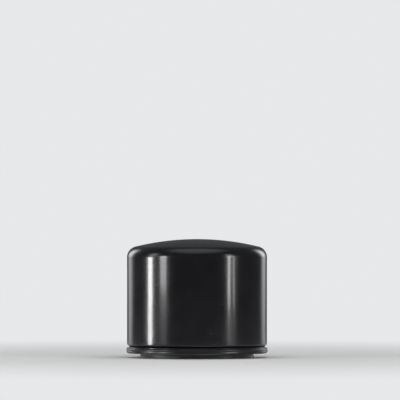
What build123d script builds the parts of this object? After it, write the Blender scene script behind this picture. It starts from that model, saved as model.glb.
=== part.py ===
from build123d import *
import os
from math import asin, cos, hypot, pi, radians, sin, sqrt, tan

# ---------------------------------------------------------------------------
# Spin-on oil filter for a small engine, full flow, short body.
#
# Frame: millimetres, +Z up along the filter's axis. The origin is the centre
# of the gasket's sealing face, so z = 0 is the engine's filter pad and the
# closed, domed end of the can is at the top.
# ---------------------------------------------------------------------------

# overall size
overall_h = 64.3        # pad face to the top of the dome
can_od = 76.0           # plain wall of the can
seam_od = 76.6          # rolled double seam

# can
can_t = 0.5
dome_r = 140.0          # outside radius of the crowned end
shoulder_r = 6.0        # outside radius where the crown turns into the wall
neck_z = 7.2            # the wall starts to neck in above the seam
neck_bottom_z = 6.0

# double seam, all sheets 0.5 thick with 0.05 between the folds
lid_t = 0.5
seam_bottom_z = 2.4
seam_top_z = 5.4
chuck_wall_r = 35.85    # middle of each sheet, from the inside outwards
body_wall_r = 36.40
cover_hook_r = 36.95
body_hook_r = 37.50
body_hook_top_z = 4.45
cover_hook_end_z = 3.85
outer_panel_r = seam_od / 2 - lid_t / 2
seam_bend_r = 0.55

# gasket and the groove pressed into the lid
gasket_od = 61.7        # 2.43 in
gasket_id = 54.6        # 2.15 in
gasket_h = 5.0
groove_floor_z = 5.0
lip_r = 26.85           # middle of the lid's inner lip
ridge_in_r = 31.35      # middle of the two walls of the ridge
ridge_out_r = 33.25
ridge_bottom_z = 2.8

# base plate, thread 3/4-16 UNF (minor diameter 17.5)
thread_minor_r = 8.75
plate_r = 34.8
plate_z0 = groove_floor_z + lid_t
plate_t = 3.0
collar_r = 12.0
collar_top_z = 14.5
entry_chamfer = 0.9
exit_chamfer = 0.5
inlet_holes = 8
inlet_r = 3.0
inlet_circle_r = 19.5

# anti-drainback valve
valve_travel = 1.2

# filter element
cap_t = 0.4
cap_r = 33.0
lower_cap_z = 16.0
upper_cap_z = 53.5
potting_h = 2.0
tube_r = 13.0
tube_t = 0.5
pleats = 50
paper_t = 0.6
outer_fold_centre_r = 31.0
inner_fold_centre_r = 15.0
outer_fold_r = 0.75
inner_fold_r = 0.40
end_fold_r = 0.33       # half the distance between the strip's two ends

# bypass valve
cage_r = 9.3
cage_t = 0.4
cage_floor_z = 42.8
cage_hole_r = 2.25
seat_t = 0.6
seat_hole_r = 5.6
seat_face_z = 53.2
poppet_r = 7.6
poppet_t = 0.8
seal_t = 0.65
stem_r = 1.9
bypass_travel = 2.5

# springs
bypass_spring_r = 4.6
bypass_wire_r = 0.4
element_spring_r = 13.0
element_wire_r = 0.9

os.makedirs("parts", exist_ok=True)


# ---------------------------------------------------------------------------
# Line work shared by the pressed sheet parts
# ---------------------------------------------------------------------------

def rounded_line(points, radii):
    """Straight runs joined by tangent arcs, one radius for each inner corner.
    A radius of 0 leaves the corner sharp."""
    corners = [Vector(*p) for p in points]
    start = corners[0]
    for i, r in enumerate(radii, start=1):
        back = (corners[i - 1] - corners[i]).normalized()
        ahead = (corners[i + 1] - corners[i]).normalized()
        if r == 0:
            Line(start, corners[i])
            start = corners[i]
            continue
        half = radians(back.get_angle(ahead)) / 2
        cut = r / tan(half)
        first, last = corners[i] + back * cut, corners[i] + ahead * cut
        middle = (back + ahead).normalized() * (r / sin(half) - r) + corners[i]
        if (first - start).length > 1e-4:
            Line(start, first)
        ThreePointArc(first, middle, last)
        start = last
    if (corners[-1] - start).length > 1e-4:
        Line(start, corners[-1])


def beside(points, distance):
    """The same open line moved sideways, to the left for a positive distance,
    with mitred corners."""
    n = len(points)
    left = []
    for (x0, y0), (x1, y1) in zip(points, points[1:]):
        length = hypot(x1 - x0, y1 - y0)
        left.append((-(y1 - y0) / length, (x1 - x0) / length))
    moved = []
    for i, (x, y) in enumerate(points):
        if i in (0, n - 1):
            nx, ny = left[0] if i == 0 else left[-1]
            k = 1.0
        else:
            (ax, ay), (bx, by) = left[i - 1], left[i]
            nx, ny = ax + bx, ay + by
            k = 2.0 / (nx * nx + ny * ny)
        moved.append((x + nx * k * distance, y + ny * k * distance))
    return moved


def sheet_outline(points, radii, thickness):
    """Closed outline of a sheet whose middle follows an open line."""
    left_turn = []
    for (x0, y0), (x1, y1), (x2, y2) in zip(points, points[1:], points[2:]):
        left_turn.append((x1 - x0) * (y2 - y1) - (y1 - y0) * (x2 - x1) > 0)
    half = thickness / 2
    one = beside(points, half)
    other = beside(points, -half)
    rounded_line(one, [r - half if turn else r + half for r, turn in zip(radii, left_turn)])
    rounded_line(other, [r + half if turn else r - half for r, turn in zip(radii, left_turn)])
    Line(one[0], other[0])
    Line(one[-1], other[-1])


# ---------------------------------------------------------------------------
# Can: a drawn cup, crowned end up, necked in above the seam, with its open
# edge turned out and up as the body hook of the seam
# ---------------------------------------------------------------------------

crown_angle = asin((can_od / 2 - shoulder_r) / (dome_r - shoulder_r))
wall_mid_r = can_od / 2 - can_t / 2
top_mid_z = overall_h - can_t / 2
crown_corner_r = (dome_r - can_t / 2) * tan(crown_angle / 2)
shoulder_corner_z = top_mid_z - (wall_mid_r - crown_corner_r) * tan(crown_angle)
wall_top_z = (overall_h - dome_r) + (dome_r - shoulder_r) * cos(crown_angle)
can_fold_z = seam_bottom_z + lid_t + 0.05 + can_t / 2

with BuildPart() as can:
    with BuildSketch(Plane.XZ):
        with BuildLine():
            sheet_outline(
                [(0, top_mid_z), (crown_corner_r, top_mid_z),
                 (wall_mid_r, shoulder_corner_z), (wall_mid_r, neck_z),
                 (body_wall_r, neck_bottom_z), (body_wall_r, can_fold_z),
                 (body_hook_r, can_fold_z), (body_hook_r, body_hook_top_z)],
                [dome_r - can_t / 2, shoulder_r - can_t / 2, 0.7, 0.7, seam_bend_r, seam_bend_r],
                can_t)
        make_face()
    revolve(axis=Axis.Z)
can.part.label = "can"
export_step(can.part, "parts/can.step")


# ---------------------------------------------------------------------------
# Seaming lid: one pressed ring. From the inside outwards it is the inner lip,
# the gasket groove, a stiffening ridge, the valley that the base plate is
# welded to, the chuck wall, and the folds that grip the can's edge
# ---------------------------------------------------------------------------

lid_floor_z = groove_floor_z + lid_t / 2
lid_fold_z = seam_bottom_z + lid_t / 2
hook_top_z = seam_top_z - lid_t / 2

with BuildPart() as seaming_lid:
    with BuildSketch(Plane.XZ):
        with BuildLine():
            sheet_outline(
                [(lip_r, 2.2), (lip_r, lid_floor_z),
                 (ridge_in_r, lid_floor_z), (ridge_in_r, ridge_bottom_z + lid_t / 2),
                 (ridge_out_r, ridge_bottom_z + lid_t / 2), (ridge_out_r, lid_floor_z),
                 (chuck_wall_r, lid_floor_z), (chuck_wall_r, lid_fold_z),
                 (outer_panel_r, lid_fold_z), (outer_panel_r, hook_top_z),
                 (cover_hook_r, hook_top_z), (cover_hook_r, cover_hook_end_z)],
                [0.6, 0.6, 0.6, 0.6, 0.6, 0.6, 0.7, 0.7, seam_bend_r, seam_bend_r],
                lid_t)
        make_face()
    revolve(axis=Axis.Z)
seaming_lid.part.label = "seaming_lid"
export_step(seaming_lid.part, "parts/seaming_lid.step")

# sealing compound flowed into the head of the seam, above the can's hook
with BuildPart() as seam_compound:
    with BuildSketch(Plane.XZ):
        with BuildLine():
            bead_z0, bead_z1 = body_hook_top_z + 0.01, hook_top_z - 0.31
            rounded_line([(body_hook_r - 0.25, bead_z0), (body_hook_r + 0.25, bead_z0),
                          (body_hook_r + 0.25, bead_z1), (body_hook_r - 0.25, bead_z1),
                          (body_hook_r - 0.25, bead_z0)], [0, 0.22, 0.22])
        make_face()
    revolve(axis=Axis.Z)
seam_compound.part.label = "seam_compound"
export_step(seam_compound.part, "parts/seam_compound.step")


# ---------------------------------------------------------------------------
# Gasket: a moulded nitrile ring of nearly square section in the lid's groove
# ---------------------------------------------------------------------------

with BuildPart() as gasket:
    with BuildSketch(Plane.XZ):
        with BuildLine():
            gi, go = gasket_id / 2, gasket_od / 2
            rounded_line([((gi + go) / 2, 0), (go, 0), (go, gasket_h), (gi, gasket_h), (gi, 0),
                          ((gi + go) / 2, 0)], [0.35, 0.45, 0.45, 0.35])
        make_face()
    revolve(axis=Axis.Z)
gasket.part.label = "gasket"
export_step(gasket.part, "parts/gasket.step")


# ---------------------------------------------------------------------------
# Base plate: thick plate with a drawn collar, bored to the thread's minor
# diameter, and a ring of oil inlet holes
# ---------------------------------------------------------------------------

plate_top_z = plate_z0 + plate_t

with BuildPart() as base_plate:
    with BuildSketch(Plane.XZ):
        with BuildLine():
            rounded_line(
                [(thread_minor_r, plate_z0 + entry_chamfer), (thread_minor_r + entry_chamfer, plate_z0),
                 (plate_r, plate_z0), (plate_r, plate_top_z),
                 (collar_r, plate_top_z), (collar_r, collar_top_z),
                 (thread_minor_r + exit_chamfer, collar_top_z),
                 (thread_minor_r, collar_top_z - exit_chamfer),
                 (thread_minor_r, plate_z0 + entry_chamfer)],
                [0, 0.4, 0.8, 1.5, 0.6, 0, 0])
        make_face()
    revolve(axis=Axis.Z)
    with BuildSketch(Plane.XY.offset(plate_z0 - 1)):
        with PolarLocations(inlet_circle_r, inlet_holes):
            Circle(inlet_r)
    extrude(amount=plate_t + 2, mode=Mode.SUBTRACT)
    hole_rims = [
        e for e in base_plate.edges().filter_by(GeomType.CIRCLE)
        if abs(e.radius - inlet_r) < 1e-3
        and abs(hypot(e.arc_center.X, e.arc_center.Y) - inlet_circle_r) < 1e-3
    ]
    fillet(hole_rims, radius=0.3)
base_plate.part.label = "base_plate"
export_step(base_plate.part, "parts/base_plate.step")


# ---------------------------------------------------------------------------
# Anti-drainback valve: one rubber moulding, parted here at its flex line.
# The hub is gripped between the collar and the element; the lip lies on the
# base plate outside the inlet holes and lifts to let oil in.
# ---------------------------------------------------------------------------

hub_r = 14.2

with BuildPart() as drainback_valve_hub:
    with BuildSketch(Plane.XZ):
        with BuildLine():
            rounded_line(
                [(10.4, 15.2), (10.4, collar_top_z), (collar_r + 0.05, collar_top_z),
                 (collar_r + 0.05, 12.4), (hub_r, 12.4), (hub_r, lower_cap_z),
                 (10.4, lower_cap_z), (10.4, 15.2)],
                [0.2, 0, 0.2, 0.3, 0.4, 0.4])
        make_face()
    revolve(axis=Axis.Z)
drainback_valve_hub.part.label = "drainback_valve_hub"
export_step(drainback_valve_hub.part, "parts/drainback_valve_hub.step")

with BuildPart() as drainback_valve_lip:
    with BuildSketch(Plane.XZ):
        with BuildLine():
            rounded_line(
                [(hub_r + 0.3, 13.6), (hub_r + 0.3, 12.9), (24.7, plate_top_z + 0.05),
                 (25.9, plate_top_z + 0.05), (26.0, 9.2), (hub_r + 0.3, 14.3),
                 (hub_r + 0.3, 13.6)],
                [0.3, 0.3, 0.25, 0.4, 0.3])
        make_face()
    revolve(axis=Axis.Z)
drainback_valve_lip.part.label = "drainback_valve_lip"
export_step(drainback_valve_lip.part, "parts/drainback_valve_lip.step")


# ---------------------------------------------------------------------------
# Element: pleated paper between two dished end caps, glued in with plastisol,
# round a perforated centre tube
# ---------------------------------------------------------------------------

cap_mid_r = cap_r - cap_t / 2

with BuildPart() as lower_end_cap:
    with BuildSketch(Plane.XZ):
        with BuildLine():
            sheet_outline(
                [(10.0, 14.9), (10.0, lower_cap_z + cap_t / 2),
                 (cap_mid_r, lower_cap_z + cap_t / 2), (cap_mid_r, lower_cap_z + 3.6)],
                [0.5, 0.7], cap_t)
        make_face()
    revolve(axis=Axis.Z)
lower_end_cap.part.label = "lower_end_cap"
export_step(lower_end_cap.part, "parts/lower_end_cap.step")

with BuildPart() as upper_end_cap:
    with BuildSketch(Plane.XZ):
        with BuildLine():
            sheet_outline(
                [(9.6, upper_cap_z + cap_t / 2), (cap_mid_r, upper_cap_z + cap_t / 2),
                 (cap_mid_r, upper_cap_z - 3.2)],
                [0.7], cap_t)
        make_face()
    revolve(axis=Axis.Z)
upper_end_cap.part.label = "upper_end_cap"
export_step(upper_end_cap.part, "parts/upper_end_cap.step")

# plastisol rings: a poured ring with a rolled-up inner and outer edge
potting_in_r, potting_out_r = tube_r + 0.05, cap_r - cap_t - 0.1
lower_potting_z = lower_cap_z + cap_t
upper_potting_z = upper_cap_z - potting_h

with BuildPart() as lower_potting:
    with BuildSketch(Plane.XZ):
        with BuildLine():
            rounded_line(
                [(20, lower_potting_z), (potting_out_r, lower_potting_z),
                 (potting_out_r, lower_potting_z + potting_h),
                 (potting_in_r, lower_potting_z + potting_h), (potting_in_r, lower_potting_z),
                 (20, lower_potting_z)],
                [0.6, 0, 0, 0])
        make_face()
    revolve(axis=Axis.Z)
lower_potting.part.label = "lower_potting"
export_step(lower_potting.part, "parts/lower_potting.step")

with BuildPart() as upper_potting:
    with BuildSketch(Plane.XZ):
        with BuildLine():
            rounded_line(
                [(20, upper_cap_z), (potting_out_r, upper_cap_z), (potting_out_r, upper_potting_z),
                 (potting_in_r, upper_potting_z), (potting_in_r, upper_cap_z), (20, upper_cap_z)],
                [0.6, 0, 0, 0])
        make_face()
    revolve(axis=Axis.Z)
upper_potting.part.label = "upper_potting"
export_step(upper_potting.part, "parts/upper_potting.step")

# Pleated paper. Each outer fold is an arc round a centre on one circle and
# each inner fold is an arc round a centre on another, half a pitch on. The
# flanks are the crossed tangents between them. The strip's two ends stand
# side by side at one outer fold and are held by the clip.
paper_z0 = lower_potting_z + potting_h
paper_z1 = upper_potting_z
pitch = 2 * pi / pleats


def polar(r, angle):
    return Vector(r * cos(angle), r * sin(angle))


def flank(outer_angle, outer_radius, inner_angle, inner_radius):
    """Ends of the crossed tangent from an outer fold to an inner fold."""
    a, b = polar(outer_fold_centre_r, outer_angle), polar(inner_fold_centre_r, inner_angle)
    side = 1 if inner_angle > outer_angle else -1
    along = (b - a).normalized()
    across = Vector(-along.Y, along.X)
    lean = asin((outer_radius + inner_radius) / (b - a).length)
    # unit vector square to the tangent, on the side away from the fold's middle
    normal = (across * -cos(lean) - along * -sin(lean)) * side
    return a + normal * outer_radius, b - normal * inner_radius


def paper_side(offset):
    """One face of the paper, from end to end round the element. The offset is
    half the paper's thickness, positive on the outer face."""
    outer, inner, end = outer_fold_r + offset, inner_fold_r - offset, end_fold_r + offset
    for i in range(pleats):
        inner_angle = (i + 0.5) * pitch
        before = end if i == 0 else outer
        after = end if i == pleats - 1 else outer
        down_outer, down_inner = flank(i * pitch, before, inner_angle, inner)
        up_outer, up_inner = flank((i + 1) * pitch, after, inner_angle, inner)
        Line(down_outer, down_inner)
        ThreePointArc(down_inner, polar(inner_fold_centre_r - inner, inner_angle), up_inner)
        Line(up_inner, up_outer)
        if i < pleats - 1:
            next_outer, _ = flank((i + 1) * pitch, outer, (i + 1.5) * pitch, inner)
            ThreePointArc(up_outer, polar(outer_fold_centre_r + outer, (i + 1) * pitch), next_outer)
    first, _ = flank(0, end, 0.5 * pitch, inner)
    last, _ = flank(pleats * pitch, end, (pleats - 0.5) * pitch, inner)
    return first, last


with BuildPart() as pleated_media:
    with BuildSketch(Plane.XY.offset(paper_z0)):
        with BuildLine():
            out_first, out_last = paper_side(paper_t / 2)
            in_first, in_last = paper_side(-paper_t / 2)
            Line(out_first, in_first)
            Line(out_last, in_last)
        make_face()
    extrude(amount=paper_z1 - paper_z0)
pleated_media.part.label = "pleated_media"
export_step(pleated_media.part, "parts/pleated_media.step")

# clip: a channel folded from tinned strip, pushed over the two ends of the paper
clip_t = 0.36
clip_mid_y = end_fold_r + paper_t / 2 + 0.08 + clip_t / 2
with BuildPart() as media_clip:
    with BuildSketch(Plane.XY.offset(paper_z0 + 0.5)):
        with BuildLine():
            sheet_outline([(27.4, clip_mid_y), (31.5, clip_mid_y),
                           (31.5, -clip_mid_y), (27.4, -clip_mid_y)], [0.4, 0.4], clip_t)
        make_face()
    extrude(amount=paper_z1 - paper_z0 - 1.0)
media_clip.part.label = "media_clip"
export_step(media_clip.part, "parts/media_clip.step")

# centre tube: rolled from perforated strip, staggered rows of round holes
tube_z0 = lower_cap_z + cap_t
tube_z1 = upper_cap_z
tube_rows = 8
tube_columns = 6        # each cut goes through both walls
with BuildPart() as centre_tube:
    with BuildSketch(Plane.XY.offset(tube_z0)):
        Circle(tube_r)
        Circle(tube_r - tube_t, mode=Mode.SUBTRACT)
    extrude(amount=tube_z1 - tube_z0)
    row_pitch = (tube_z1 - tube_z0 - 6.0) / (tube_rows - 1)
    for row in range(tube_rows):
        z = tube_z0 + 3.0 + row * row_pitch
        for column in range(tube_columns):
            turn = (column + 0.5 * (row % 2)) * 180.0 / tube_columns
            across = Plane(origin=(0, 0, z), x_dir=(0, 0, 1),
                           z_dir=(cos(radians(turn)), sin(radians(turn)), 0))
            with BuildSketch(across):
                Circle(1.6)
            extrude(amount=tube_r + 1, both=True, mode=Mode.SUBTRACT)
centre_tube.part.label = "centre_tube"
export_step(centre_tube.part, "parts/centre_tube.step")


# ---------------------------------------------------------------------------
# Bypass valve in the upper end cap. The poppet is pushed up against the seat
# by its spring and opens downwards, into the centre tube.
# ---------------------------------------------------------------------------

cage_mid_r = cage_r - cage_t / 2
flange_z = upper_cap_z + cap_t

with BuildPart() as bypass_cage:
    with BuildSketch(Plane.XZ):
        with BuildLine():
            sheet_outline(
                [(11.6, flange_z + cage_t / 2), (cage_mid_r, flange_z + cage_t / 2),
                 (cage_mid_r, cage_floor_z + cage_t / 2), (cage_hole_r, cage_floor_z + cage_t / 2)],
                [0.5, 1.2], cage_t)
        make_face()
    revolve(axis=Axis.Z)
    # four windows for the oil, cut two at a time
    for window in (Plane.XZ, Plane.YZ):
        with BuildSketch(window):
            with Locations((0, 48.6)):
                RectangleRounded(7.0, 6.4, 1.0)
        extrude(amount=cage_r + 1, both=True, mode=Mode.SUBTRACT)
bypass_cage.part.label = "bypass_cage"
export_step(bypass_cage.part, "parts/bypass_cage.step")

with BuildPart() as bypass_seat:
    seat_mid_z = flange_z + cage_t + seat_t / 2
    seat_bead_r = seat_hole_r + seat_t / 2
    with BuildSketch(Plane.XZ):
        with BuildLine():
            sheet_outline([(seat_bead_r, seat_face_z), (seat_bead_r, seat_mid_z), (11.6, seat_mid_z)],
                          [0.6], seat_t)
        make_face()
    revolve(axis=Axis.Z)
bypass_seat.part.label = "bypass_seat"
export_step(bypass_seat.part, "parts/bypass_seat.step")

seal_top_z = seat_face_z - 0.05
poppet_top_z = seal_top_z - seal_t
poppet_under_z = poppet_top_z - poppet_t
boss_r = 4.2

with BuildPart() as bypass_poppet:
    with BuildSketch(Plane.XZ):
        with BuildLine():
            rounded_line(
                [(0, 54.2), (boss_r, 54.2), (boss_r, poppet_top_z), (poppet_r, poppet_top_z),
                 (poppet_r, poppet_under_z), (stem_r, poppet_under_z), (stem_r, 41.6), (0, 41.6), (0, 54.2)],
                [1.2, 0, 0.2, 0.2, 0.6, 0.5, 0])
        make_face()
    revolve(axis=Axis.Z)
bypass_poppet.part.label = "bypass_poppet"
export_step(bypass_poppet.part, "parts/bypass_poppet.step")

with BuildPart() as bypass_seal:
    with BuildSketch(Plane.XZ):
        with BuildLine():
            rounded_line(
                [(5, poppet_top_z), (poppet_r - 0.1, poppet_top_z), (poppet_r - 0.1, seal_top_z),
                 (boss_r + 0.05, seal_top_z), (boss_r + 0.05, poppet_top_z), (5, poppet_top_z)],
                [0, 0.2, 0, 0])
        make_face()
    revolve(axis=Axis.Z)
bypass_seal.part.label = "bypass_seal"
export_step(bypass_seal.part, "parts/bypass_seal.step")


# ---------------------------------------------------------------------------
# Springs: round wire on a plain helix
# ---------------------------------------------------------------------------

spring_z0 = cage_floor_z + cage_t
spring_z1 = poppet_under_z
with BuildPart() as bypass_spring:
    turns = 5
    rise = spring_z1 - spring_z0 - 2 * bypass_wire_r - 0.04
    with BuildLine() as coil_line:
        Helix(pitch=rise / turns, height=rise, radius=bypass_spring_r,
              center=(0, 0, spring_z0 + bypass_wire_r + 0.02))
    with BuildSketch(Plane(origin=coil_line.edges()[0] @ 0, z_dir=coil_line.edges()[0] % 0)):
        Circle(bypass_wire_r)
    sweep(path=coil_line.wires()[0], is_frenet=True)
bypass_spring.part.label = "bypass_spring"
export_step(bypass_spring.part, "parts/bypass_spring.step")

# the element spring stands on the upper end cap round the bypass seat and
# bears on the inside of the crown
crown_inside_z = (overall_h - dome_r) + sqrt((dome_r - can_t) ** 2 - (element_spring_r + element_wire_r) ** 2)
with BuildPart() as element_spring:
    turns = 3
    rise = crown_inside_z - flange_z - 2 * element_wire_r - 0.06
    with BuildLine() as coil_line:
        Helix(pitch=rise / turns, height=rise, radius=element_spring_r,
              center=(0, 0, flange_z + element_wire_r + 0.03))
    with BuildSketch(Plane(origin=coil_line.edges()[0] @ 0, z_dir=coil_line.edges()[0] % 0)):
        Circle(element_wire_r)
    sweep(path=coil_line.wires()[0], is_frenet=True)
element_spring.part.label = "element_spring"
export_step(element_spring.part, "parts/element_spring.step")
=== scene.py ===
import math
import random

import bmesh
import bpy
import numpy as np
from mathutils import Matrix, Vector


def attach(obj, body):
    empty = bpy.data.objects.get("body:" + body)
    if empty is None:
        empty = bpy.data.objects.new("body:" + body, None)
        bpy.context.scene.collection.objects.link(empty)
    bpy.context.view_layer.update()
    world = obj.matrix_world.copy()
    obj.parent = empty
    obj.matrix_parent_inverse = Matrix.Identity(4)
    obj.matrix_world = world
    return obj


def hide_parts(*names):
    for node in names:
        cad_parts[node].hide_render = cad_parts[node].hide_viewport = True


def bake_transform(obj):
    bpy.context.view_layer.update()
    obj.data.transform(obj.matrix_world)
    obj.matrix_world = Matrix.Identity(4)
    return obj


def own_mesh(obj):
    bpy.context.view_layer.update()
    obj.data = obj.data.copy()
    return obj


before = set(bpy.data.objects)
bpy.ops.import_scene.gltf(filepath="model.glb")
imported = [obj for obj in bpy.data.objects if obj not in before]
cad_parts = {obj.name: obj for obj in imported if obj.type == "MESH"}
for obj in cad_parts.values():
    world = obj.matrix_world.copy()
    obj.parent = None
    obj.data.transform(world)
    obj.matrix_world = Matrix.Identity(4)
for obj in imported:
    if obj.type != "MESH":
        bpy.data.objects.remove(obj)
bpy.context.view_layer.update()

MM = 0.001
HOUSING, BYPASS, LIP = "housing", "bypass_valve", "drainback_lip"
random.seed(7)

# ---------------------------------------------------------------------------
# camera: level, 3 m away with a long lens, a little above the filter, so that
# the filter stands low in the middle of the frame
# ---------------------------------------------------------------------------
cam_data = bpy.data.cameras.new("camera")
cam_data.sensor_width = 36.0
cam_data.lens = 497.4
cam_data.clip_start, cam_data.clip_end = 0.05, 40.0
camera = bpy.data.objects.new("camera", cam_data)
bpy.context.scene.collection.objects.link(camera)
camera.location = (1.63 * MM, -3.0, 85.5 * MM)
camera.rotation_euler = (math.radians(90), 0, 0)
bpy.context.scene.camera = camera

# ---------------------------------------------------------------------------
# line work, in millimetres, in the half plane (radius, height)
# ---------------------------------------------------------------------------


def rounded(points, radii, closed=False, step=9.0):
    """Points along straight runs joined by tangent arcs. radii has one entry for each corner:
    every point of a closed line, the inner points of an open one."""
    pts = [np.array(p, float) for p in points]
    n = len(pts)
    corners = range(n) if closed else range(1, n - 1)
    out = [] if closed else [pts[0]]
    for k, i in enumerate(corners):
        r = radii[k]
        p, a, b = pts[i], pts[i - 1], pts[(i + 1) % n]
        u, v = (a - p) / np.linalg.norm(a - p), (b - p) / np.linalg.norm(b - p)
        dot = max(-1.0, min(1.0, float(u @ v)))
        angle = math.acos(dot)
        if r <= 0 or angle > math.pi - 1e-6:
            out.append(p)
            continue
        cut = r / math.tan(angle / 2)
        centre = p + (u + v) / np.linalg.norm(u + v) * (r / math.sin(angle / 2))
        first, last = p + u * cut - centre, p + v * cut - centre
        sweep = math.pi - angle
        turn = 1 if first[0] * last[1] - first[1] * last[0] > 0 else -1
        m = max(2, math.ceil(math.degrees(sweep) / step))
        start = math.atan2(first[1], first[0])
        for j in range(m + 1):
            t = start + turn * sweep * j / m
            out.append(centre + r * np.array([math.cos(t), math.sin(t)]))
    if not closed:
        out.append(pts[-1])
    kept = [out[0]]
    for q in out[1:]:
        if np.linalg.norm(q - kept[-1]) > 1e-4:
            kept.append(q)
    if closed and np.linalg.norm(kept[0] - kept[-1]) <= 1e-4:
        kept.pop()
    return [tuple(q) for q in kept]


def beside(points, distance):
    """An open line moved sideways, with mitred corners."""
    pts = [np.array(p, float) for p in points]
    left = []
    for a, b in zip(pts, pts[1:]):
        d = (b - a) / np.linalg.norm(b - a)
        left.append(np.array([-d[1], d[0]]))
    out = []
    for i, p in enumerate(pts):
        if i == 0:
            n = left[0]
        elif i == len(pts) - 1:
            n = left[-1]
        else:
            s = left[i - 1] + left[i]
            n = s * 2 / (s @ s)
        out.append(tuple(p + n * distance))
    return out


def sheet(points, radii, t, edge=0.1, step=9.0):
    """Closed outline of a sheet of thickness t round an open middle line, its cut edges eased."""
    turns = []
    for a, b, c in zip(points, points[1:], points[2:]):
        turns.append((b[0] - a[0]) * (c[1] - b[1]) - (b[1] - a[1]) * (c[0] - b[0]) > 0)
    one, other = beside(points, t / 2), beside(points, -t / 2)
    r_one = [r - t / 2 if left else r + t / 2 for r, left in zip(radii, turns)]
    r_other = [r + t / 2 if left else r - t / 2 for r, left in zip(radii, turns)]
    line = one + other[::-1]
    rr = [edge] + r_one + [edge, edge] + r_other[::-1] + [edge]
    return rounded(line, rr, closed=True, step=step)


def divide(points, most, closed=True):
    """The same line with no run longer than most."""
    out = []
    n = len(points)
    for i in range(n if closed else n - 1):
        a, b = np.array(points[i]), np.array(points[(i + 1) % n])
        m = max(1, math.ceil(np.linalg.norm(b - a) / most - 1e-9))
        for j in range(m):
            out.append(tuple(a + (b - a) * j / m))
    if not closed:
        out.append(tuple(points[-1]))
    return out


# ---------------------------------------------------------------------------
# meshes
# ---------------------------------------------------------------------------


def make(name, verts, faces, sharp=32.0, weighted=True):
    """A mesh object from millimetre coordinates, normals outward, smooth with crisp edges."""
    mesh = bpy.data.meshes.new(name)
    mesh.from_pydata([tuple(c * MM for c in v) for v in verts], [], faces)
    bm = bmesh.new()
    bm.from_mesh(mesh)
    bmesh.ops.remove_doubles(bm, verts=bm.verts, dist=2e-7)
    bmesh.ops.dissolve_degenerate(bm, edges=bm.edges, dist=1e-7)
    bmesh.ops.recalc_face_normals(bm, faces=bm.faces)
    bm.to_mesh(mesh)
    bm.free()
    for p in mesh.polygons:
        p.use_smooth = True
    mesh.set_sharp_from_angle(angle=math.radians(sharp))
    obj = bpy.data.objects.new(name, mesh)
    bpy.context.scene.collection.objects.link(obj)
    if weighted:
        m = obj.modifiers.new("weighted", "WEIGHTED_NORMAL")
        m.keep_sharp = True
        m.weight = 50
    return obj


def lathe_data(profile, n, bend=None):
    """Vertices and faces of a closed profile turned about Z. A profile that touches the axis at
    its first and last point makes a solid with two poles."""
    poles = abs(profile[0][0]) < 1e-6 and abs(profile[-1][0]) < 1e-6
    verts, faces, rings = [], [], []
    for r, z in profile:
        if r < 1e-6:
            rings.append([len(verts)] * n)
            verts.append((0.0, 0.0, z))
            continue
        ring = []
        for i in range(n):
            a = 2 * math.pi * i / n
            rr, zz = bend(r, z, a) if bend else (r, z)
            ring.append(len(verts))
            verts.append((rr * math.cos(a), rr * math.sin(a), zz))
        rings.append(ring)
    pairs = list(zip(rings, rings[1:])) + ([] if poles else [(rings[-1], rings[0])])
    for a, b in pairs:
        for i in range(n):
            j = (i + 1) % n
            face = [a[i], a[j], b[j], b[i]]
            face = [v for k, v in enumerate(face) if v != face[k - 1]]
            if len(face) > 2:
                faces.append(face)
    return verts, faces


def lathe(name, profile, n=192, bend=None, **kw):
    return make(name, *lathe_data(profile, n, bend), **kw)


def wire(name, line, radius, sides=14, normal_up=True):
    """Round wire along an open line of points, with slightly eased flat ends."""
    pts = [np.array(p, float) for p in line]
    up = np.array([0.0, 0.0, 1.0])
    verts, faces, rings = [], [], []

    def ring(centre, tangent, r):
        side = np.cross(tangent, up)
        side /= np.linalg.norm(side)
        top = np.cross(side, tangent)
        ids = []
        for k in range(sides):
            a = 2 * math.pi * k / sides
            ids.append(len(verts))
            verts.append(tuple(centre + r * (math.cos(a) * side + math.sin(a) * top)))
        rings.append(ids)

    n = len(pts)
    for i, p in enumerate(pts):
        t = pts[min(i + 1, n - 1)] - pts[max(i - 1, 0)]
        t /= np.linalg.norm(t)
        if i == 0:
            ring(p, t, radius * 0.86)
            ring(p + t * radius * 0.14, t, radius)
        elif i == n - 1:
            ring(p - t * radius * 0.14, t, radius)
            ring(p, t, radius * 0.86)
        else:
            ring(p, t, radius)
    for a, b in zip(rings, rings[1:]):
        for k in range(sides):
            j = (k + 1) % sides
            faces.append([a[k], a[j], b[j], b[k]])
    faces.append(rings[0])
    faces.append(rings[-1])
    return make(name, verts, faces, sharp=40.0)


def coil(z0, z1, mean_r, wire_r, active, closed_turns=1.0, start=0.0, per_turn=48):
    """Middle line of a compression spring with closed ends, between two planes."""
    low, high = z0 + wire_r, z1 - wire_r
    tight = 2 * wire_r * 1.03
    total = active + 2 * closed_turns
    rise_active = (high - low) - 2 * closed_turns * tight
    line = []
    m = int(total * per_turn)
    for i in range(m + 1):
        t = total * i / m
        # the pitch eases from closed to active over a third of a turn
        if t < closed_turns:
            z = low + tight * t
        elif t > total - closed_turns:
            z = high - tight * (total - t)
        else:
            s = (t - closed_turns) / active
            k = 0.12
            e = s + 0.0
            z = low + closed_turns * tight + rise_active * e
        a = start + 2 * math.pi * t
        line.append((mean_r * math.cos(a), mean_r * math.sin(a), z))
    # smooth the changes of pitch
    zs = np.array([p[2] for p in line])
    w = per_turn // 4
    pad = np.concatenate([zs[:1] - (zs[1] - zs[0]) * np.arange(w, 0, -1), zs,
                          zs[-1:] + (zs[-1] - zs[-2]) * np.arange(1, w + 1)])
    kernel = np.hanning(2 * w + 1)
    kernel /= kernel.sum()
    zs = np.convolve(pad, kernel, mode="valid")
    return [(x, y, float(z)) for (x, y, _), z in zip(line, zs)]


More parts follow.
